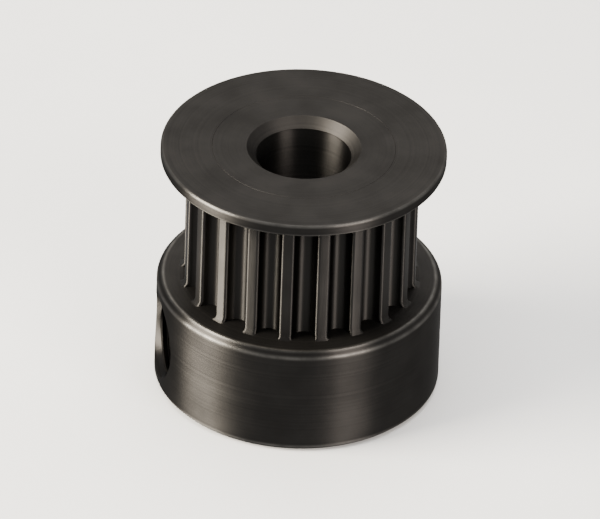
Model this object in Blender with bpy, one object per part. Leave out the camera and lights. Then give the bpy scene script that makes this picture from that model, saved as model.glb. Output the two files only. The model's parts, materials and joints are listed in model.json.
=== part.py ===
"""A timing belt pulley: a 20-tooth, 2 mm pitch barrel with a clamping hub, for a 5 mm shaft.

Four pieces: the turned and hobbed body, the flange pressed on its spigot, and two cup-point set
screws at 90 degrees in the hub. The pulley stands on its hub with its axis along +Z, and the centre of
the hub's end face is the origin. One set screw points along -X and the other along +Y. A tooth is
centred over each of them.
"""

import math

import bmesh
import bpy
from mathutils import Euler, Matrix

MM = 0.001

# Belt teeth: the 2 mm pitch round-groove form, whose pitch line lies outside the tooth tips.
TEETH = 20
BELT_PITCH = 2.0 * MM
PITCH_LINE_OFFSET = 0.254 * MM
TIP_CIRCLE_RADIUS = TEETH * BELT_PITCH / (2 * math.pi) - PITCH_LINE_OFFSET
GROOVE_DEPTH = 0.75 * MM
GROOVE_BOTTOM_RADIUS = 0.555 * MM
GROOVE_FLANK_RADIUS = 1.0 * MM
TOOTH_TIP_RADIUS = 0.15 * MM

# Heights, from the hub's end face.
HUB_HEIGHT = 6.2 * MM
BELT_WIDTH = 7.2 * MM
FLANGE_THICKNESS = 0.8 * MM
SHOULDER_HEIGHT = HUB_HEIGHT + BELT_WIDTH
HEIGHT = SHOULDER_HEIGHT + FLANGE_THICKNESS

# Turned shapes.
HUB_RADIUS = 7.5 * MM
HUB_CHAMFER = 0.3 * MM
SPIGOT_RADIUS = 4.8 * MM
BORE_RADIUS = 2.5 * MM
BORE_CHAMFER = 0.5 * MM
FLANGE_RADIUS = 7.5 * MM
FLANGE_EDGE = 0.08 * MM
GUIDE_WIDTH = 0.9 * MM
GUIDE_RISE = 0.15 * MM
FLANGE_GAP = 0.02 * MM

# Set screws: M4 x 0.7, 4 mm long. At rest each tip just clears a 5 mm shaft.
SCREW_RADIUS = 2.0 * MM
SCREW_PITCH = 0.7 * MM
SCREW_LENGTH = 4.0 * MM
THREAD_DEPTH = 0.6134 * SCREW_PITCH
OUTER_END_CHAMFER = 0.45 * MM
CUP_RADIUS = 1.0 * MM
CUP_DEPTH = 0.58 * MM
SOCKET_ACROSS_FLATS = 2.0 * MM
SOCKET_DEPTH = 2.0 * MM
SCREW_HEIGHT = HUB_HEIGHT / 2
TIP_DISTANCE = BORE_RADIUS + 0.05 * MM
HOLE_CLEARANCE = 0.05 * MM
HOLE_CHAMFER = 0.35 * MM
SCREW_DIRECTIONS = {"set_screw_a": math.pi, "set_screw_b": math.pi / 2}

# Facets. A cutter reaches CUT_PAST beyond the surface that it cuts.
TURN_STEPS = 120
HOLE_STEPS = 48
THREAD_STEPS = 36
THREAD_ROWS = 4
CUT_PAST = 0.5 * MM


def clear_scene():
    for obj in list(bpy.data.objects):
        bpy.data.objects.remove(obj)


def steel(name, colour, roughness):
    material = bpy.data.materials.new(name)
    material.use_nodes = True
    shader = material.node_tree.nodes["Principled BSDF"]
    shader.inputs["Base Color"].default_value = (*colour, 1.0)
    shader.inputs["Roughness"].default_value = roughness
    shader.inputs["Metallic"].default_value = 1.0
    return material


def add_object(name, bm, material=None):
    """Makes an object of a closed bmesh, with its faces pointing out."""
    bmesh.ops.recalc_face_normals(bm, faces=bm.faces)
    mesh = bpy.data.meshes.new(name)
    bm.to_mesh(mesh)
    bm.free()
    mesh.shade_smooth()
    mesh.set_sharp_from_angle(angle=math.radians(30))
    obj = bpy.data.objects.new(name, mesh)
    bpy.context.scene.collection.objects.link(obj)
    if material:
        mesh.materials.append(material)
    return obj


def turned(profile, steps):
    """Turns (radius, height) points about Z. A profile that is a ring repeats its first point."""
    bm = bmesh.new()
    points = [bm.verts.new((radius, 0.0, height)) for radius, height in profile]
    edges = [bm.edges.new(ends) for ends in zip(points, points[1:])]
    bmesh.ops.spin(
        bm,
        geom=points + edges,
        axis=(0.0, 0.0, 1.0),
        angle=2 * math.pi,
        steps=steps,
        use_merge=True,
    )
    bmesh.ops.remove_doubles(bm, verts=bm.verts, dist=0.0001 * MM)
    return bm


def prism(outline, levels):
    """Stacks an outline at each (scale, height) level and closes both ends."""
    bm = bmesh.new()
    loops = [[bm.verts.new((x * scale, y * scale, z)) for x, y in outline] for scale, z in levels]
    for low, high in zip(loops, loops[1:]):
        for i in range(len(outline)):
            bm.faces.new((low[i - 1], low[i], high[i], high[i - 1]))
    bm.faces.new(loops[0])
    bm.faces.new(loops[-1])
    return bm


def combine(obj, other, operation):
    """Joins obj with, or cuts it by, a helper that isn't a piece of the pulley."""
    other.hide_render = True
    other.display_type = "WIRE"
    modifier = obj.modifiers.new(other.name, "BOOLEAN")
    modifier.operation = operation
    modifier.object = other
    modifier.solver = "EXACT"


def arc(centre, radius, start, end, steps):
    angles = [start + (end - start) * i / steps for i in range(steps + 1)]
    return [(centre[0] + radius * math.cos(a), centre[1] + radius * math.sin(a)) for a in angles]


def meeting_point(radius, other_centre, other_radius):
    """Where a circle about the origin meets another circle, on the right of the line of centres."""
    span = math.hypot(*other_centre)
    along = (span**2 + radius**2 - other_radius**2) / (2 * span)
    aside = math.sqrt(radius**2 - along**2)
    x, y = other_centre[0] / span, other_centre[1] / span
    return along * x + aside * y, along * y - aside * x


def half_groove():
    """The right half of a groove that opens along +Y, from its bottom up to the tooth's tip.

    The bottom arc runs into a flank arc, whose centre is across the groove on the level of the tip
    circle, and a tip arc rounds the flank into the tip circle.
    """
    bottom_centre = (0.0, TIP_CIRCLE_RADIUS - GROOVE_DEPTH + GROOVE_BOTTOM_RADIUS)
    drop = TIP_CIRCLE_RADIUS - bottom_centre[1]
    reach = math.sqrt((GROOVE_FLANK_RADIUS - GROOVE_BOTTOM_RADIUS) ** 2 - drop**2)
    flank_centre = (-reach, TIP_CIRCLE_RADIUS)
    tip_centre = meeting_point(
        TIP_CIRCLE_RADIUS - TOOTH_TIP_RADIUS, flank_centre, GROOVE_FLANK_RADIUS + TOOTH_TIP_RADIUS
    )
    tangent = math.atan2(-drop, reach)
    lean = math.atan2(tip_centre[1] - flank_centre[1], tip_centre[0] - flank_centre[0])
    outward = math.atan2(tip_centre[1], tip_centre[0])
    bottom = arc(bottom_centre, GROOVE_BOTTOM_RADIUS, -math.pi / 2, tangent, 4)
    flank = arc(flank_centre, GROOVE_FLANK_RADIUS, tangent, lean, 3)
    tip = arc(tip_centre, TOOTH_TIP_RADIUS, lean + math.pi, outward, 4)
    return bottom + flank[1:] + tip[1:]


def barrel_outline():
    """All the grooves in turn. A straight land joins each to the next across the tooth's tip."""
    right = half_groove()
    groove = right[::-1] + [(-x, y) for x, y in right[1:]]
    outline = []
    for tooth in range(TEETH):
        angle = 2 * math.pi * (tooth + 0.5) / TEETH
        cos, sin = math.cos(angle), math.sin(angle)
        outline += [(x * cos - y * sin, x * sin + y * cos) for x, y in groove]
    return outline


def hub_and_spigot():
    profile = [
        (0.0, 0.0),
        (HUB_RADIUS - HUB_CHAMFER, 0.0),
        (HUB_RADIUS, HUB_CHAMFER),
        (HUB_RADIUS, HUB_HEIGHT - HUB_CHAMFER),
        (HUB_RADIUS - HUB_CHAMFER, HUB_HEIGHT),
        (SPIGOT_RADIUS, HUB_HEIGHT),
        (SPIGOT_RADIUS, HEIGHT),
        (0.0, HEIGHT),
    ]
    return turned(profile, TURN_STEPS)


def bore_cutter():
    wide = BORE_RADIUS + BORE_CHAMFER + CUT_PAST
    profile = [
        (0.0, -CUT_PAST),
        (wide, -CUT_PAST),
        (BORE_RADIUS, BORE_CHAMFER),
        (BORE_RADIUS, HEIGHT - BORE_CHAMFER),
        (wide, HEIGHT + CUT_PAST),
        (0.0, HEIGHT + CUT_PAST),
    ]
    return turned(profile, TURN_STEPS)


def screw_hole_cutter():
    """Runs along +Z from the pulley's axis, so that it opens into the bore."""
    radius = SCREW_RADIUS + HOLE_CLEARANCE
    end = HUB_RADIUS + CUT_PAST
    profile = [
        (0.0, 0.0),
        (radius, 0.0),
        (radius, HUB_RADIUS - HOLE_CHAMFER),
        (radius + HOLE_CHAMFER + CUT_PAST, end),
        (0.0, end),
    ]
    return turned(profile, HOLE_STEPS)


def pulley_body(material):
    body = add_object("pulley_body", hub_and_spigot(), material)
    levels = [(1.0, HUB_HEIGHT - CUT_PAST), (1.0, SHOULDER_HEIGHT)]
    combine(body, add_object("barrel", prism(barrel_outline(), levels)), "UNION")
    combine(body, add_object("bore_cutter", bore_cutter()), "DIFFERENCE")
    for name, direction in SCREW_DIRECTIONS.items():
        cutter = add_object(name + "_hole_cutter", screw_hole_cutter())
        cutter.location.z = SCREW_HEIGHT
        cutter.rotation_euler = Euler((0.0, math.pi / 2, direction))
        combine(body, cutter, "DIFFERENCE")


def end_flange(material):
    """A ring round the spigot. Its underside slopes up towards the rim, to lead the belt in."""
    hole = SPIGOT_RADIUS + FLANGE_GAP
    bottom = SHOULDER_HEIGHT + FLANGE_GAP
    profile = [
        (hole, bottom),
        (FLANGE_RADIUS - GUIDE_WIDTH, bottom),
        (FLANGE_RADIUS - FLANGE_EDGE, bottom + GUIDE_RISE),
        (FLANGE_RADIUS, bottom + GUIDE_RISE + FLANGE_EDGE),
        (FLANGE_RADIUS, HEIGHT - FLANGE_EDGE),
        (FLANGE_RADIUS - FLANGE_EDGE, HEIGHT),
        (hole, HEIGHT),
        (hole, bottom),
    ]
    add_object("end_flange", turned(profile, TURN_STEPS), material)


def thread():
    """A threaded rod about Z that is longer than the screw at both ends.

    Each column of points climbs by its share of a pitch, so the last column meets the first a pitch
    higher up, where the two are merged.
    """
    root = SCREW_RADIUS - THREAD_DEPTH
    profile = [(SCREW_RADIUS, 0.0), (SCREW_RADIUS, 0.125), (root, 0.4375), (root, 0.6875)]
    turns = range(-2, math.ceil(SCREW_LENGTH / SCREW_PITCH) + 1)
    bm = bmesh.new()
    columns = []
    for step in range(THREAD_STEPS + 1):
        share = step / THREAD_STEPS
        cos, sin = math.cos(2 * math.pi * share), math.sin(2 * math.pi * share)
        points = [(r, SCREW_PITCH * (turn + rise + share)) for turn in turns for r, rise in profile]
        columns.append([bm.verts.new((r * cos, r * sin, z)) for r, z in points])
    for left, right in zip(columns, columns[1:]):
        for row in range(1, len(left)):
            bm.faces.new((left[row - 1], right[row - 1], right[row], left[row]))
    bmesh.ops.remove_doubles(bm, verts=bm.verts, dist=0.0001 * MM)
    ends = [edge for edge in bm.edges if edge.is_boundary]
    low = bm.verts.new((0.0, 0.0, -1.5 * SCREW_PITCH))
    high = bm.verts.new((0.0, 0.0, SCREW_LENGTH + 1.5 * SCREW_PITCH))
    for edge in ends:
        centre = low if edge.verts[0].co.z < SCREW_LENGTH / 2 else high
        bm.faces.new((*edge.verts, centre))
    return bm


def screw_envelope():
    """The screw without its thread: a cup point below and a chamfer above, both at 45 degrees."""
    wide = SCREW_RADIUS + CUT_PAST
    profile = [
        (0.0, CUP_DEPTH),
        (CUP_RADIUS, 0.0),
        (wide, wide - CUP_RADIUS),
        (wide, SCREW_LENGTH - OUTER_END_CHAMFER - CUT_PAST),
        (SCREW_RADIUS - OUTER_END_CHAMFER, SCREW_LENGTH),
        (0.0, SCREW_LENGTH),
    ]
    return turned(profile, THREAD_STEPS)


def socket_cutter():
    """A hexagon whose bottom narrows to a drill point."""
    corner = SOCKET_ACROSS_FLATS / math.sqrt(3)
    outline = [(corner * math.cos(a), corner * math.sin(a)) for a in (math.pi / 3 * i for i in range(6))]
    bottom = SCREW_LENGTH - SOCKET_DEPTH
    levels = [(0.1, bottom - corner / 2), (1.0, bottom), (1.0, SCREW_LENGTH + CUT_PAST)]
    return prism(outline, levels)


def set_screw(name, material):
    screw = add_object(name, thread(), material)
    envelope = add_object(name + "_envelope", screw_envelope())
    socket = add_object(name + "_socket", socket_cutter())
    direction = SCREW_DIRECTIONS[name]
    place = Matrix.Translation((0.0, 0.0, SCREW_HEIGHT)) @ Matrix.Rotation(direction, 4, "Z")
    place @= Matrix.Rotation(math.pi / 2, 4, "Y") @ Matrix.Translation((0.0, 0.0, TIP_DISTANCE))
    for obj in (screw, envelope, socket):
        obj.matrix_world = place
    combine(screw, envelope, "INTERSECT")
    combine(screw, socket, "DIFFERENCE")


clear_scene()
black_oxide = steel("black_oxide_steel", (0.10, 0.095, 0.09), 0.4)
screw_steel = steel("screw_steel", (0.05, 0.05, 0.052), 0.35)
pulley_body(black_oxide)
end_flange(black_oxide)
for screw_name in SCREW_DIRECTIONS:
    set_screw(screw_name, screw_steel)
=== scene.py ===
"""The looks of a timing belt pulley: fine meshes, blackened steel, a pale studio and a camera.

The pulley stands on its hub at the origin, with its axis along +Z. Lengths are in metres.
"""

import json
import math

import bmesh
import bpy
from mathutils import Matrix, Vector


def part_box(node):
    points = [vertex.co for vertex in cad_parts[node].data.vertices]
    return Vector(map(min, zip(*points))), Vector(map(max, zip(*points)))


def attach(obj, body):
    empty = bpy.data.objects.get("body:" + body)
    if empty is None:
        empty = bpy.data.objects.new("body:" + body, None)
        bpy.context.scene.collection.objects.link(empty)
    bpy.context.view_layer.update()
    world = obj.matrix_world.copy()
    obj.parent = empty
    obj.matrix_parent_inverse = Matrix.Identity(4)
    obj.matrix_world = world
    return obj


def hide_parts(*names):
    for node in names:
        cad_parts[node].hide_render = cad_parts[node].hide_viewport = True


MM = 0.001

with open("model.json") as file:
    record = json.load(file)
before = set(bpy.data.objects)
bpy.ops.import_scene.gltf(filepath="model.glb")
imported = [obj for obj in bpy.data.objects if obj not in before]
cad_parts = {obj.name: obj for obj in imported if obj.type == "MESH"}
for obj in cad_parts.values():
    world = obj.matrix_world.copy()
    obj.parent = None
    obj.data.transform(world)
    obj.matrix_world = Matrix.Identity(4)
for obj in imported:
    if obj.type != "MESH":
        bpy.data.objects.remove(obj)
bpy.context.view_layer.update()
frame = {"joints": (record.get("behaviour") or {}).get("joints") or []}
body_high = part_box("pulley_body")[1]
flange_low, flange_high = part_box("end_flange")
screw_low, screw_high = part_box("set_screw_a")

# Belt teeth, as in the CAD: 20 round grooves of 2 mm pitch.
TEETH = 20
BELT_PITCH = 2.0 * MM
PITCH_LINE_OFFSET = 0.254 * MM
TIP_CIRCLE_RADIUS = TEETH * BELT_PITCH / (2 * math.pi) - PITCH_LINE_OFFSET
GROOVE_DEPTH = 0.75 * MM
GROOVE_BOTTOM_RADIUS = 0.555 * MM
GROOVE_FLANK_RADIUS = 1.0 * MM
TOOTH_TIP_RADIUS = 0.15 * MM
FOOT_FILLET = 0.25 * MM

# Turned shapes. Some sizes come from the boxes of the parts in model.glb, and the rest repeats the CAD. The
# roundings and the narrow seam are added here.
HEIGHT = body_high[2]
HUB_RADIUS = body_high[0]
HUB_HEIGHT = 6.2 * MM
HUB_CHAMFER = 0.3 * MM
FLANGE_RADIUS = flange_high[0]
FLANGE_BOTTOM = flange_low[2]
FLANGE_GAP = 0.02 * MM
SHOULDER_HEIGHT = FLANGE_BOTTOM - FLANGE_GAP
GUIDE_WIDTH = 0.9 * MM
GUIDE_RISE = 0.15 * MM
GUIDE_ROUNDING = 0.4 * MM
SPIGOT_RADIUS = 4.8 * MM
TUBE_RADIUS = 3.6 * MM
BORE_RADIUS = 2.5 * MM
BORE_CHAMFER = 0.5 * MM
SEAM_GAP = 0.005 * MM
SEAM_ROUNDING = 0.012 * MM
FINE_ROUNDING = 0.03 * MM
EDGE_ROUNDING = 0.18 * MM
RIM_ROUNDING = 0.14 * MM
SUPPORT = 0.02 * MM

# Set screws: M4 x 0.7, in holes whose thread lies outside the screw's own. Each is turned a little about
# its own axis, by an angle in radians.
SCREW_RADIUS = (screw_high[1] - screw_low[1]) / 2
SCREW_LENGTH = screw_high[0] - screw_low[0]
SCREW_HEIGHT = (screw_low[2] + screw_high[2]) / 2
TIP_DISTANCE = -screw_high[0]
SCREW_PITCH = 0.7 * MM
THREAD_DEPTH_SHARE = 0.6134
THREAD_DEPTH = THREAD_DEPTH_SHARE * SCREW_PITCH
OUTER_END_CHAMFER = 0.45 * MM
CUP_RADIUS = 1.0 * MM
CUP_DEPTH = 0.58 * MM
CUP_ROUNDING = 0.04 * MM
OUTER_END_ROUNDING = 0.06 * MM
SOCKET_ACROSS_FLATS = 2.0 * MM
SOCKET_CORNER = SOCKET_ACROSS_FLATS / math.sqrt(3)
SOCKET_DEPTH = 2.0 * MM
SOCKET_CHAMFER = 0.12 * MM
HOLE_CLEARANCE = 0.05 * MM
HOLE_RADIUS = SCREW_RADIUS + HOLE_CLEARANCE
HOLE_THREAD_DEPTH = 0.32 * MM
HOLE_CHAMFER = 0.35 * MM
SCREWS = {"set_screw_a": "screw_a", "set_screw_b": "screw_b"}
SCREW_TURNS = {"set_screw_a": 0.3, "set_screw_b": 1.1}

# Facets. A cutter reaches CUT_PAST beyond the surface that it cuts, and points that are closer than
# SAME_POINT are one point.
TURN_STEPS = 288
HOLE_STEPS = 96
THREAD_STEPS = 72
ARC_STEPS = 5
GROOVE_STEPS = 8
FILLET_STEPS = 8
LAND_STEPS = 2
CUT_PAST = 0.5 * MM
SLIVER = 0.0001 * MM
SAME_POINT = 0.00002 * MM

# Edges are shaded sharp where they turn by more than this, in degrees.
BODY_SHARP_ANGLE = 32
FLANGE_SHARP_ANGLE = 40
SCREW_SHARP_ANGLE = 35

# The steel's marks. Scales are in features to the millimetre, and EDGE_WEAR_AND_HIGHLIGHT_REACH is in millimetres, because the
# shaders work in millimetres. A roughness is what the mark adds where it is strongest.
RING_SCALE = 7.0
RING_HEIGHT_SHARE = 0.83
LINE_SQUEEZE = 0.06
MOTTLE_SCALE = 0.5
GRAIN_SCALE = 11.0
EDGE_WEAR_AND_HIGHLIGHT_SCALE = 1.1
EDGE_WEAR_AND_HIGHLIGHT_REACH = 0.18
# How strongly the turned edges are lightened: partly worn oxide, partly a painted highlight.
EDGE_WEAR_AND_HIGHLIGHT_STRENGTH = 0.22
RING_ROUGHNESS = 0.12
MOTTLE_ROUGHNESS = 0.05
WEAR_ROUGHNESS = -0.06
GRAIN_SHARE = 0.35
BUMP_STRENGTH = 0.5
BUMP_DEPTH = 0.008 * MM
# How dark the groove floors are painted, as a share of the dark oxide: painted shade in the recesses.
GROOVE_SHADE_SHARE = 0.9
# The colour of the light edges: bare steel for the wear, and a painted highlight as well.
EDGE_WEAR_AND_HIGHLIGHT_COLOUR = (0.42, 0.4, 0.37, 1.0)

# The view: how the camera stands round the pulley, and how long a lens fills the frame from there.
VIEW_AZIMUTH = math.radians(-12.0)
VIEW_ELEVATION = math.radians(34.0)
VIEW_ROLL = math.radians(2.0)
VIEW_DISTANCE = 0.84
LENS_MM = 960.0
SENSOR_MM = 36.0

# A floor that reaches past the edges of every view.
FLOOR_RADIUS = 3.0
FLOOR_SIDES = 64


# Meshes


def arc(centre, radius, start, end, steps):
    angles = [start + (end - start) * i / steps for i in range(steps + 1)]
    return [(centre[0] + radius * math.cos(a), centre[1] + radius * math.sin(a)) for a in angles]


def rounded(corners, closed):
    """The (radius, height) points of a profile whose (radius, height, rounding) corners become arcs.

    A point just outside each end of an arc keeps the shading of the straight stretch flat. A closed
    profile repeats its first point.
    """
    points = []
    count = len(corners)
    for i, (x, y, rounding) in enumerate(corners):
        at_end = not closed and i in (0, count - 1)
        if at_end or rounding == 0:
            points.append((x, y))
            continue
        corner = Vector((x, y))
        before = (Vector(corners[i - 1][:2]) - corner).normalized()
        after = (Vector(corners[(i + 1) % count][:2]) - corner).normalized()
        half = before.angle(after) / 2
        centre = corner + (before + after).normalized() * rounding / math.sin(half)
        reach = rounding / math.tan(half)
        first = corner + before * reach - centre
        last = corner + after * reach - centre
        start = math.atan2(first.y, first.x)
        turn = math.remainder(math.atan2(last.y, last.x) - start, 2 * math.pi)
        points.append(tuple(corner + before * (reach + SUPPORT)))
        points += arc(centre, rounding, start, start + turn, ARC_STEPS)
        points.append(tuple(corner + after * (reach + SUPPORT)))
    return points + points[:1] if closed else points


def turned(profile, steps):
    """A bmesh of (radius, height) points turned about Z."""
    bm = bmesh.new()
    points = [bm.verts.new((radius, 0.0, height)) for radius, height in profile]
    edges = [bm.edges.new(ends) for ends in zip(points, points[1:])]
    bmesh.ops.spin(
        bm,
        geom=points + edges,
        axis=(0.0, 0.0, 1.0),
        angle=2 * math.pi,
        steps=steps,
        use_merge=True,
    )
    bmesh.ops.remove_doubles(bm, verts=bm.verts, dist=SAME_POINT)
    return bm


def add_object(name, bm):
    bmesh.ops.recalc_face_normals(bm, faces=bm.faces)
    mesh = bpy.data.meshes.new(name)
    bm.to_mesh(mesh)
    bm.free()
    obj = bpy.data.objects.new(name, mesh)
    bpy.context.scene.collection.objects.link(obj)
    return obj


def combined(obj, steps):
    """Applies Booleans, each an (operation, helper object), in turn, and deletes the helpers.

    Points closer than SLIVER are then merged, because Booleans leave slivers where surfaces graze.
    """
    for operation, helper in steps:
        modifier = obj.modifiers.new(helper.name, "BOOLEAN")
        modifier.operation = operation
        modifier.object = helper
        modifier.solver = "EXACT"
    evaluated = obj.evaluated_get(bpy.context.evaluated_depsgraph_get())
    mesh = bpy.data.meshes.new_from_object(evaluated)
    bm = bmesh.new()
    bm.from_mesh(mesh)
    bmesh.ops.remove_doubles(bm, verts=bm.verts, dist=SLIVER)
    bmesh.ops.dissolve_degenerate(bm, edges=bm.edges, dist=SLIVER)
    bm.to_mesh(mesh)
    bm.free()
    obj.modifiers.clear()
    obj.data = mesh
    for _, helper in steps:
        bpy.data.objects.remove(helper)


def smooth(obj, angle):
    """Shades obj smooth, apart from the edges that turn by more than an angle in degrees."""
    obj.data.shade_smooth()
    obj.data.set_sharp_from_angle(angle=math.radians(angle))


def meeting_point(radius, other_centre, other_radius):
    """Where a circle about the origin meets another circle, on the right of the line of centres."""
    span = math.hypot(*other_centre)
    along = (span**2 + radius**2 - other_radius**2) / (2 * span)
    aside = math.sqrt(radius**2 - along**2)
    x, y = other_centre[0] / span, other_centre[1] / span
    return Vector((along * x + aside * y, along * y - aside * x))


def half_tooth_space(raised):
    """The right half of a groove that opens along +Y, then the land up to the middle of the tooth.

    raised is how far the land lies outside the tip circle. The flank runs straight on to meet it.
    """
    bottom_centre = (0.0, TIP_CIRCLE_RADIUS - GROOVE_DEPTH + GROOVE_BOTTOM_RADIUS)
    drop = TIP_CIRCLE_RADIUS - bottom_centre[1]
    reach = math.sqrt((GROOVE_FLANK_RADIUS - GROOVE_BOTTOM_RADIUS) ** 2 - drop**2)
    flank_centre = Vector((-reach, TIP_CIRCLE_RADIUS))
    tip_centre = meeting_point(
        TIP_CIRCLE_RADIUS - TOOTH_TIP_RADIUS, flank_centre, GROOVE_FLANK_RADIUS + TOOTH_TIP_RADIUS
    )
    tangent = math.atan2(-drop, reach)
    lean = math.atan2(tip_centre.y - flank_centre.y, tip_centre.x - flank_centre.x)
    upward = Vector((-math.sin(lean), math.cos(lean)))
    along = tip_centre.dot(upward)
    land_radius = TIP_CIRCLE_RADIUS + raised
    inner = land_radius - TOOTH_TIP_RADIUS
    tip_centre += upward * (math.sqrt(along**2 - tip_centre.length_squared + inner**2) - along)
    outward = math.atan2(tip_centre.y, tip_centre.x)
    middle = math.pi / 2 - math.pi / TEETH
    bottom = arc(bottom_centre, GROOVE_BOTTOM_RADIUS, -math.pi / 2, tangent, GROOVE_STEPS)
    flank = arc(flank_centre, GROOVE_FLANK_RADIUS, tangent, lean, ARC_STEPS)
    tip = arc(tip_centre, TOOTH_TIP_RADIUS, lean + math.pi, outward, ARC_STEPS)
    land = arc((0.0, 0.0), land_radius, outward - SUPPORT / land_radius, middle, LAND_STEPS)
    return bottom + flank[1:] + tip + land


def barrel_ring(raised):
    """The (x, y) points all round the teeth."""
    right = half_tooth_space(raised)
    groove = right[::-1] + [(-x, y) for x, y in right[1:-1]]
    ring = []
    for tooth in range(TEETH):
        turn = 2 * math.pi * (tooth + 0.5) / TEETH
        cos, sin = math.cos(turn), math.sin(turn)
        ring += [(x * cos - y * sin, x * sin + y * cos) for x, y in groove]
    return ring


def toothed_tube():
    """The barrel as a tube, which starts inside the hub and whose lands flare into it at their feet."""
    levels = [(FOOT_FILLET, HUB_HEIGHT - CUT_PAST)]
    for i in range(FILLET_STEPS + 1):
        turn = math.pi / 2 * i / FILLET_STEPS
        rise = FOOT_FILLET * (1 - math.cos(turn))
        levels.append((FOOT_FILLET * (1 - math.sin(turn)), HUB_HEIGHT + rise))
    levels.append((0.0, HUB_HEIGHT + FOOT_FILLET + SUPPORT))
    levels.append((0.0, SHOULDER_HEIGHT))
    bm = bmesh.new()
    rings = [[bm.verts.new((x, y, z)) for x, y in barrel_ring(raised)] for raised, z in levels]
    inside = []
    for z in (levels[0][1], SHOULDER_HEIGHT):
        points = [Vector(point).normalized() * TUBE_RADIUS for point in barrel_ring(0.0)]
        inside.append([bm.verts.new((x, y, z)) for x, y in points])
    loops = [inside[0], *rings, inside[1], inside[0]]
    for low, high in zip(loops, loops[1:]):
        for i in range(len(low)):
            bm.faces.new((low[i - 1], low[i], high[i], high[i - 1]))
    return bm


def threaded_rod(radius, depth, length, steps):
    """A right-hand thread along +Z that runs past 0 and past length by at least a pitch.

    Each column of points climbs by its share of a pitch, so the last column meets the first a pitch
    higher up, where the two are merged.
    """
    root = radius - depth
    rounding = 0.12 * depth
    crest_side, root_side = radius - rounding, root + rounding
    # Each point is a radius and a share of the pitch.
    profile = [
        (crest_side, 0.0),
        (radius, 0.04),
        (radius, 0.13),
        (crest_side, 0.17),
        (root_side, 0.46),
        (root, 0.52),
        (root, 0.65),
        (root_side, 0.71),
    ]
    turns = range(-2, math.ceil(length / SCREW_PITCH) + 1)
    bm = bmesh.new()
    columns = []
    for step in range(steps + 1):
        share = step / steps
        cos, sin = math.cos(2 * math.pi * share), math.sin(2 * math.pi * share)
        points = [(r, SCREW_PITCH * (turn + rise + share)) for turn in turns for r, rise in profile]
        columns.append([bm.verts.new((r * cos, r * sin, z)) for r, z in points])
    for left, right in zip(columns, columns[1:]):
        for row in range(1, len(left)):
            bm.faces.new((left[row - 1], right[row - 1], right[row], left[row]))
    bmesh.ops.remove_doubles(bm, verts=bm.verts, dist=SAME_POINT)
    ends = [edge for edge in bm.edges if edge.is_boundary]
    overhang = 1.5 * SCREW_PITCH
    low = bm.verts.new((0.0, 0.0, -overhang))
    high = bm.verts.new((0.0, 0.0, length + overhang))
    for edge in ends:
        centre = low if edge.verts[0].co.z < length / 2 else high
        bm.faces.new((*edge.verts, centre))
    return bm


def prism(outline, levels):
    """The (x, y) outline carried up through levels, each a (scale, height), and closed at both ends."""
    bm = bmesh.new()
    loops = [[bm.verts.new((x * scale, y * scale, z)) for x, y in outline] for scale, z in levels]
    for low, high in zip(loops, loops[1:]):
        for i in range(len(outline)):
            bm.faces.new((low[i - 1], low[i], high[i], high[i - 1]))
    bm.faces.new(loops[0])
    bm.faces.new(loops[-1])
    return bm


def outward_frame(joint_axis, start):
    """The place of something whose +Z runs outwards from the pulley's axis along a joint's axis."""
    turn = Vector(joint_axis).to_track_quat("Z", "X").to_matrix().to_4x4()
    return Matrix.Translation((0.0, 0.0, SCREW_HEIGHT)) @ turn @ Matrix.Translation((0.0, 0.0, start))


# Pieces


def toothed_body(joint_axes):
    """The hub, the barrel and the spigot, with a screw hole along each joint axis."""
    inside_chamfer = BORE_RADIUS + BORE_CHAMFER
    beyond_fillets = TIP_CIRCLE_RADIUS + FOOT_FILLET + 3 * SUPPORT
    corners = [
        (inside_chamfer, 0.0, FINE_ROUNDING),
        (HUB_RADIUS - HUB_CHAMFER, 0.0, EDGE_ROUNDING),
        (HUB_RADIUS, HUB_CHAMFER, EDGE_ROUNDING),
        (HUB_RADIUS, HUB_HEIGHT - HUB_CHAMFER, EDGE_ROUNDING),
        (HUB_RADIUS - HUB_CHAMFER, HUB_HEIGHT, EDGE_ROUNDING),
        (beyond_fillets, HUB_HEIGHT, 0.0),
        (SPIGOT_RADIUS, HUB_HEIGHT, 0.0),
        (SPIGOT_RADIUS, HEIGHT, SEAM_ROUNDING),
        (inside_chamfer, HEIGHT, FINE_ROUNDING),
        (BORE_RADIUS, HEIGHT - BORE_CHAMFER, FINE_ROUNDING),
        (BORE_RADIUS, BORE_CHAMFER, FINE_ROUNDING),
    ]
    body = add_object("toothed_body", turned(rounded(corners, closed=True), TURN_STEPS))
    steps = [("UNION", add_object("tube", toothed_tube()))]
    for axis in joint_axes:
        threaded = add_object("thread_cutter", threaded_hole())
        countersink = add_object("countersink", countersink_cone())
        threaded.matrix_world = outward_frame(axis, 0.0)
        countersink.matrix_world = outward_frame(axis, 0.0)
        steps += [("DIFFERENCE", threaded), ("DIFFERENCE", countersink)]
    combined(body, steps)
    smooth(body, BODY_SHARP_ANGLE)
    return body


def threaded_hole():
    """Cuts the tapped hole. It starts in the bore, and its thread lies outside HOLE_RADIUS."""
    return threaded_rod(
        HOLE_RADIUS + HOLE_THREAD_DEPTH, HOLE_THREAD_DEPTH, HUB_RADIUS + CUT_PAST, HOLE_STEPS
    )


def countersink_cone():
    """Cuts the chamfer at the mouth of a screw hole."""
    start = HUB_RADIUS - HOLE_CHAMFER
    end = HUB_RADIUS + CUT_PAST
    profile = [
        (0.0, start - CUT_PAST),
        (HOLE_RADIUS, start - CUT_PAST),
        (HOLE_RADIUS, start),
        (HOLE_RADIUS + end - start, end),
        (0.0, end),
    ]
    return turned(profile, HOLE_STEPS)


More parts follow.
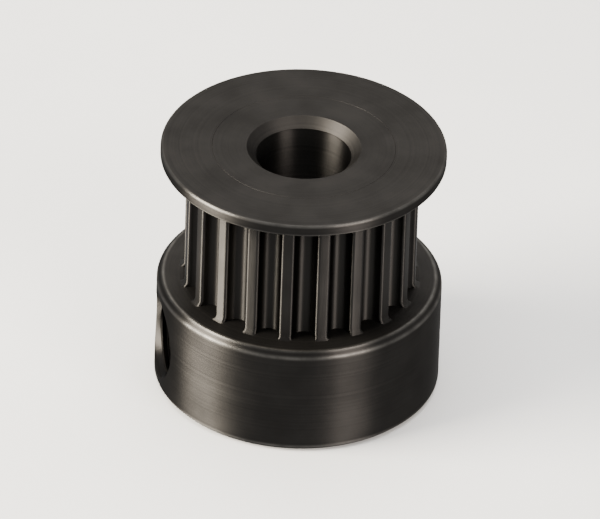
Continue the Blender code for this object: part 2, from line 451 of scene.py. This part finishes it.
def belt_flange():
    hole = SPIGOT_RADIUS + SEAM_GAP
    corners = [
        (hole, FLANGE_BOTTOM, FINE_ROUNDING),
        (FLANGE_RADIUS - GUIDE_WIDTH, FLANGE_BOTTOM, GUIDE_ROUNDING),
        (FLANGE_RADIUS, FLANGE_BOTTOM + GUIDE_RISE, EDGE_ROUNDING),
        (FLANGE_RADIUS, HEIGHT, RIM_ROUNDING),
        (hole, HEIGHT, SEAM_ROUNDING),
    ]
    flange = add_object("belt_flange", turned(rounded(corners, closed=True), TURN_STEPS))
    smooth(flange, FLANGE_SHARP_ANGLE)
    return flange


def set_screw_mesh():
    """A cup-point screw along +Z whose tip is at the origin."""
    wide = SCREW_RADIUS + CUT_PAST
    outline = [
        (0.0, CUP_DEPTH, 0.0),
        (CUP_RADIUS, 0.0, CUP_ROUNDING),
        (wide, wide - CUP_RADIUS, 0.0),
        (wide, SCREW_LENGTH - OUTER_END_CHAMFER - CUT_PAST, 0.0),
        (SCREW_RADIUS - OUTER_END_CHAMFER, SCREW_LENGTH, OUTER_END_ROUNDING),
        (0.0, SCREW_LENGTH, 0.0),
    ]
    angles = [math.pi / 3 * i for i in range(6)]
    hexagon = [(SOCKET_CORNER * math.cos(a), SOCKET_CORNER * math.sin(a)) for a in angles]
    bottom = SCREW_LENGTH - SOCKET_DEPTH
    blunt_point = (0.02, bottom - SOCKET_CORNER / 2)
    levels = [blunt_point, (1.0, bottom), (1.0, SCREW_LENGTH + CUT_PAST)]
    lead = [
        (0.0, SCREW_LENGTH - SOCKET_CORNER),
        (SOCKET_CORNER + SOCKET_CHAMFER + CUT_PAST, SCREW_LENGTH + SOCKET_CHAMFER + CUT_PAST),
        (0.0, SCREW_LENGTH + SOCKET_CHAMFER + CUT_PAST),
    ]
    rod = add_object("set_screw", threaded_rod(SCREW_RADIUS, THREAD_DEPTH, SCREW_LENGTH, THREAD_STEPS))
    steps = [
        ("INTERSECT", add_object("envelope", turned(rounded(outline, closed=False), THREAD_STEPS))),
        ("DIFFERENCE", add_object("socket", prism(hexagon, levels))),
        ("DIFFERENCE", add_object("socket_lead", turned(lead, THREAD_STEPS))),
    ]
    combined(rod, steps)
    mesh = rod.data
    bpy.data.objects.remove(rod)
    return mesh


# Materials


def add_node(tree, kind, inputs=None, **settings):
    """Adds a node with these settings. Each input, by name or number, is a value or a socket to link."""
    made = tree.nodes.new(kind)
    for name, value in settings.items():
        setattr(made, name, value)
    for name, value in (inputs or {}).items():
        if isinstance(value, bpy.types.NodeSocket):
            tree.links.new(value, made.inputs[name])
        else:
            made.inputs[name].default_value = value
    return made


def calc(tree, operation, *values):
    return add_node(tree, "ShaderNodeMath", dict(enumerate(values)), operation=operation).outputs[0]


def fade(tree, value, start, end, low=0.0):
    """low where value is at start, 1 where it is at end, and a smooth step between."""
    inputs = {"Value": value, "From Min": start, "From Max": end, "To Min": low, "To Max": 1.0}
    made = add_node(tree, "ShaderNodeMapRange", inputs, interpolation_type="SMOOTHSTEP")
    return made.outputs["Result"]


def noise(tree, place, scale, detail=3.0, roughness=0.55):
    """Noise over a point, or over a single number, with scale features to the millimetre."""
    one_number = place.type == "VALUE"
    inputs = {"W" if one_number else "Vector": place, "Scale": scale, "Detail": detail}
    inputs["Roughness"] = roughness
    dimensions = "1D" if one_number else "3D"
    made = add_node(tree, "ShaderNodeTexNoise", inputs, noise_dimensions=dimensions)
    return made.outputs[0]


def blend_colours(tree, factor, low, high):
    """A Mix node has a socket of each name for every kind of data. Those for colours are the enabled ones."""
    inputs = {"Factor": factor, "A": low, "B": high}
    made = add_node(tree, "ShaderNodeMix", data_type="RGBA")
    enabled = {socket.name: socket for socket in made.inputs if socket.enabled}
    for name, value in inputs.items():
        socket = enabled[name]
        if isinstance(value, bpy.types.NodeSocket):
            tree.links.new(value, socket)
        else:
            socket.default_value = value
    return next(socket for socket in made.outputs if socket.enabled)


def millimetre_places(tree):
    """The point in millimetres, its distance from the piece's axis, and its height along it."""
    coordinates = add_node(tree, "ShaderNodeTexCoord")
    scaled = {0: coordinates.outputs["Object"], "Scale": 1 / MM}
    point = add_node(tree, "ShaderNodeVectorMath", scaled, operation="SCALE").outputs[0]
    flat = add_node(tree, "ShaderNodeVectorMath", {0: point, 1: (1.0, 1.0, 0.0)}, operation="MULTIPLY")
    length = add_node(tree, "ShaderNodeVectorMath", {0: flat.outputs[0]}, operation="LENGTH")
    height = add_node(tree, "ShaderNodeSeparateXYZ", {0: point}).outputs["Z"]
    return point, length.outputs["Value"], height


def edge_mask(tree, radius, height, corners, reach):
    """1 at the turned edges, each a (radius, height) corner, falling to 0 at reach from them."""
    here = add_node(tree, "ShaderNodeCombineXYZ", {"X": radius, "Y": height}).outputs[0]
    nearest = None
    for corner in corners:
        there = (corner[0] / MM, corner[1] / MM, 0.0)
        apart = add_node(tree, "ShaderNodeVectorMath", {0: here, 1: there}, operation="DISTANCE")
        distance = apart.outputs["Value"]
        nearest = calc(tree, "MINIMUM", nearest, distance) if nearest else distance
    return fade(tree, nearest, reach, 0.0)


def blackened_steel(name, dark, light, roughness, corners, marks, stretch, grazing=0.5):
    """Oxide-blackened steel: tool marks, a mottled film, and light turned edges, partly worn oxide and partly
    a painted highlight.

    marks is "turned" for rings about the axis, or "hobbed" for lines along it. stretch is how far the
    rings draw each highlight out across them. grazing is the strength of reflections near the outline,
    where 1 is a plain metal's.
    """
    material = bpy.data.materials.new(name)
    material.use_nodes = True
    tree = material.node_tree
    shader = tree.nodes["Principled BSDF"]
    point, radius, height = millimetre_places(tree)
    if marks == "turned":
        across = calc(tree, "MULTIPLY_ADD", height, RING_HEIGHT_SHARE, radius)
    else:
        stretched = {0: point, 1: (1.0, 1.0, LINE_SQUEEZE)}
        across = add_node(tree, "ShaderNodeVectorMath", stretched, operation="MULTIPLY").outputs[0]
    rings = noise(tree, across, RING_SCALE, detail=4.0, roughness=0.7)
    mottle = noise(tree, point, MOTTLE_SCALE, detail=5.0, roughness=0.5)
    grain = noise(tree, point, GRAIN_SCALE, detail=2.0)
    edge_wear_and_highlight = edge_mask(tree, radius, height, corners, EDGE_WEAR_AND_HIGHLIGHT_REACH)
    patchy = fade(tree, noise(tree, point, EDGE_WEAR_AND_HIGHLIGHT_SCALE), 0.25, 0.7, low=0.45)
    edge_wear_and_highlight = calc(tree, "MULTIPLY", edge_wear_and_highlight, patchy)
    film = fade(tree, calc(tree, "MULTIPLY_ADD", rings, 0.6, mottle), 0.5, 1.1)
    colour = blend_colours(tree, film, (*dark, 1.0), (*light, 1.0))
    # The light band along the turned edges is partly worn oxide and partly a painted highlight.
    colour = blend_colours(tree, calc(tree, "MULTIPLY", edge_wear_and_highlight, EDGE_WEAR_AND_HIGHLIGHT_STRENGTH), colour, EDGE_WEAR_AND_HIGHLIGHT_COLOUR)
    # Painted shade: the grooves darken from near the tip circle down to their floors.
    if marks == "hobbed":
        open_radius = (TIP_CIRCLE_RADIUS - 0.1 * MM) / MM
        groove_radius = (TIP_CIRCLE_RADIUS - GROOVE_DEPTH) / MM
        groove_shade_mask = fade(tree, radius, open_radius, groove_radius)
        painted_groove_shade = tuple(GROOVE_SHADE_SHARE * part for part in dark)
        colour = blend_colours(tree, groove_shade_mask, colour, (*painted_groove_shade, 1.0))
    tree.links.new(colour, shader.inputs["Base Color"])
    rough = calc(tree, "MULTIPLY_ADD", mottle, MOTTLE_ROUGHNESS, roughness)
    rough = calc(tree, "MULTIPLY_ADD", rings, RING_ROUGHNESS, rough)
    rough = calc(tree, "MULTIPLY_ADD", edge_wear_and_highlight, WEAR_ROUGHNESS, rough)
    tree.links.new(rough, shader.inputs["Roughness"])
    relief = calc(tree, "MULTIPLY_ADD", grain, GRAIN_SHARE, rings)
    raised = {"Height": relief, "Strength": BUMP_STRENGTH, "Distance": BUMP_DEPTH}
    bump = add_node(tree, "ShaderNodeBump", raised)
    tree.links.new(bump.outputs[0], shader.inputs["Normal"])
    tangent = add_node(tree, "ShaderNodeTangent", direction_type="RADIAL", axis="Z")
    tree.links.new(tangent.outputs[0], shader.inputs["Tangent"])
    shader.inputs["Metallic"].default_value = 1.0
    shader.inputs["Specular Tint"].default_value = (grazing, grazing, grazing, 1.0)
    shader.inputs["Anisotropic"].default_value = stretch
    shader.inputs["Anisotropic Rotation"].default_value = 0.25
    return material


def pale_floor():
    """Matt off-white with faint patches."""
    material = bpy.data.materials.new("pale_floor")
    material.use_nodes = True
    tree = material.node_tree
    shader = tree.nodes["Principled BSDF"]
    point = millimetre_places(tree)[0]
    patches = fade(tree, noise(tree, point, 0.05, detail=4.0), 0.3, 0.7)
    darker = (0.62, 0.616, 0.606, 1.0)
    lighter = (0.65, 0.646, 0.636, 1.0)
    colour = blend_colours(tree, patches, darker, lighter)
    tree.links.new(colour, shader.inputs["Base Color"])
    shader.inputs["Roughness"].default_value = 0.6
    return material


# The pulley


def assign_materials(piece, turned_material, hobbed_material, faced_material):
    """Shares out the materials between the faces of the body or of the flange.

    The barrel between the hub and the flange is hobbed. Flat rings are faced, and so is everything inside
    the seam above the shoulder. The rest is turned.
    """
    above_hub = HUB_HEIGHT + 0.001 * MM
    inside_barrel = SPIGOT_RADIUS + 0.2 * MM
    past_seam = SPIGOT_RADIUS + 0.1 * MM
    nearly_level = 0.9
    piece.data.materials.clear()
    for material in (turned_material, hobbed_material, faced_material):
        piece.data.materials.append(material)
    for face in piece.data.polygons:
        x, y, z = face.center
        radius = math.hypot(x, y)
        if above_hub < z < SHOULDER_HEIGHT and radius > inside_barrel:
            face.material_index = 1
        elif abs(face.normal.z) > nearly_level or (z > SHOULDER_HEIGHT and radius < past_seam):
            face.material_index = 2
        else:
            face.material_index = 0


joint_axes = {joint["child"]: joint["axis"] for joint in frame["joints"]}
turned_edges = [
    (HUB_RADIUS, HUB_CHAMFER),
    (HUB_RADIUS - HUB_CHAMFER, 0.0),
    (HUB_RADIUS, HUB_HEIGHT - HUB_CHAMFER),
    (HUB_RADIUS - HUB_CHAMFER, HUB_HEIGHT),
    (FLANGE_RADIUS, HEIGHT),
    (FLANGE_RADIUS, FLANGE_BOTTOM + GUIDE_RISE),
]
screw_edges = [
    (SCREW_RADIUS - OUTER_END_CHAMFER, SCREW_LENGTH),
    (SOCKET_CORNER, SCREW_LENGTH),
    (CUP_RADIUS, 0.0),
]
dark_oxide = (0.025, 0.0236, 0.0224)
light_oxide = (0.036, 0.0338, 0.0318)
dark_rubbed = (0.040, 0.0379, 0.0358)
light_rubbed = (0.054, 0.0508, 0.0478)
dark_screw = (0.03, 0.03, 0.032)
light_screw = (0.05, 0.05, 0.052)
turned_steel = blackened_steel(
    "turned_steel",
    dark_oxide,
    light_oxide,
    roughness=0.34,
    corners=turned_edges,
    marks="turned",
    stretch=0.97,
)
hobbed_steel = blackened_steel(
    "hobbed_steel",
    dark_rubbed,
    light_rubbed,
    roughness=0.46,
    corners=turned_edges,
    marks="hobbed",
    stretch=0.97,
    grazing=1.0,
)
faced_steel = blackened_steel(
    "faced_steel",
    dark_oxide,
    light_oxide,
    roughness=0.42,
    corners=turned_edges,
    marks="turned",
    stretch=0.0,
)
screw_steel = blackened_steel(
    "screw_steel",
    dark_screw,
    light_screw,
    roughness=0.3,
    corners=screw_edges,
    marks="turned",
    stretch=0.3,
)

body = toothed_body([joint_axes[name] for name in SCREWS.values()])
assign_materials(body, turned_steel, hobbed_steel, faced_steel)
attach(body, "pulley")
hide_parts("pulley_body")

flange = belt_flange()
assign_materials(flange, turned_steel, hobbed_steel, faced_steel)
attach(flange, "pulley")
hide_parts("end_flange")

screw_mesh = set_screw_mesh()
screw_mesh.materials.clear()
screw_mesh.materials.append(screw_steel)
for node, body_name in SCREWS.items():
    screw = bpy.data.objects.new(node + "_fine", screw_mesh)
    bpy.context.scene.collection.objects.link(screw)
    smooth(screw, SCREW_SHARP_ANGLE)
    turn = Matrix.Rotation(SCREW_TURNS[node], 4, "Z")
    screw.matrix_world = outward_frame(joint_axes[body_name], TIP_DISTANCE) @ turn
    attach(screw, body_name)
    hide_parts(node)

# The studio


def direction(azimuth, elevation):
    """Azimuth 0 is towards -Y, and a positive one turns towards +X."""
    level = math.cos(elevation)
    return Vector((math.sin(azimuth) * level, -math.cos(azimuth) * level, math.sin(elevation)))


def aim(obj, place, target):
    """Puts a light or a camera in the scene, facing the target."""
    obj.location = place
    obj.rotation_euler = (Vector(target) - place).to_track_quat("-Z", "Y").to_euler()
    bpy.context.scene.collection.objects.link(obj)


def soft_light(name, from_view, elevation, distance, width, height, power, colour):
    """Adds an area light that faces the pulley, from an azimuth in degrees right of the camera's."""
    light = bpy.data.lights.new(name, "AREA")
    light.shape = "RECTANGLE"
    light.size = width
    light.size_y = height
    light.energy = power
    light.color = colour
    way = direction(VIEW_AZIMUTH + math.radians(from_view), math.radians(elevation))
    panel = bpy.data.objects.new(name, light)
    panel.visible_camera = False
    aim(panel, CENTRE + way * distance, CENTRE)
    return panel


CENTRE = Vector((0.0, 0.0, HEIGHT / 2))

floor_mesh = bpy.data.meshes.new("floor")
floor_shape = bmesh.new()
bmesh.ops.create_circle(floor_shape, cap_ends=True, radius=FLOOR_RADIUS, segments=FLOOR_SIDES)
floor_shape.to_mesh(floor_mesh)
floor_shape.free()
floor_mesh.materials.append(pale_floor())
floor = bpy.data.objects.new("floor", floor_mesh)
bpy.context.scene.collection.objects.link(floor)
# The steel doesn't mirror the floor, which would make the hub too light.
floor.visible_glossy = False

world = bpy.data.worlds.new("studio")
world.use_nodes = True
background = world.node_tree.nodes["Background"]
background.inputs["Color"].default_value = (1.0, 0.99, 0.97, 1.0)
background.inputs["Strength"].default_value = 0.95
bpy.context.scene.world = world

soft_light(
    "left",
    from_view=-76,
    elevation=25,
    distance=0.30,
    width=0.17,
    height=0.24,
    power=6.1,
    colour=(1.0, 0.93, 0.80),
)
soft_light(
    "right",
    from_view=42,
    elevation=25,
    distance=0.35,
    width=0.15,
    height=0.24,
    power=1.5,
    colour=(1.0, 0.91, 0.84),
)
soft_light(
    "back",
    from_view=180,
    elevation=40,
    distance=0.45,
    width=0.36,
    height=0.35,
    power=0.35,
    colour=(1.0, 0.98, 0.95),
)
soft_light(
    "top",
    from_view=175,
    elevation=65,
    distance=0.5,
    width=0.3,
    height=0.3,
    power=0.7,
    colour=(1.0, 1.0, 1.0),
)
overhead = soft_light(
    "overhead",
    from_view=0,
    elevation=90,
    distance=0.6,
    width=0.6,
    height=0.6,
    power=6.0,
    colour=(1.0, 1.0, 0.99),
)
# Kept out of reflections, it lights the floor alone: steel shows only the light that it mirrors.
overhead.visible_glossy = False

camera = bpy.data.cameras.new("camera")
camera.lens = LENS_MM
camera.sensor_width = SENSOR_MM
camera.clip_start = 0.01
camera_object = bpy.data.objects.new("camera", camera)
aim(camera_object, CENTRE + direction(VIEW_AZIMUTH, VIEW_ELEVATION) * VIEW_DISTANCE, CENTRE)
camera_object.rotation_euler.rotate_axis("Z", VIEW_ROLL)
bpy.context.scene.camera = camera_object
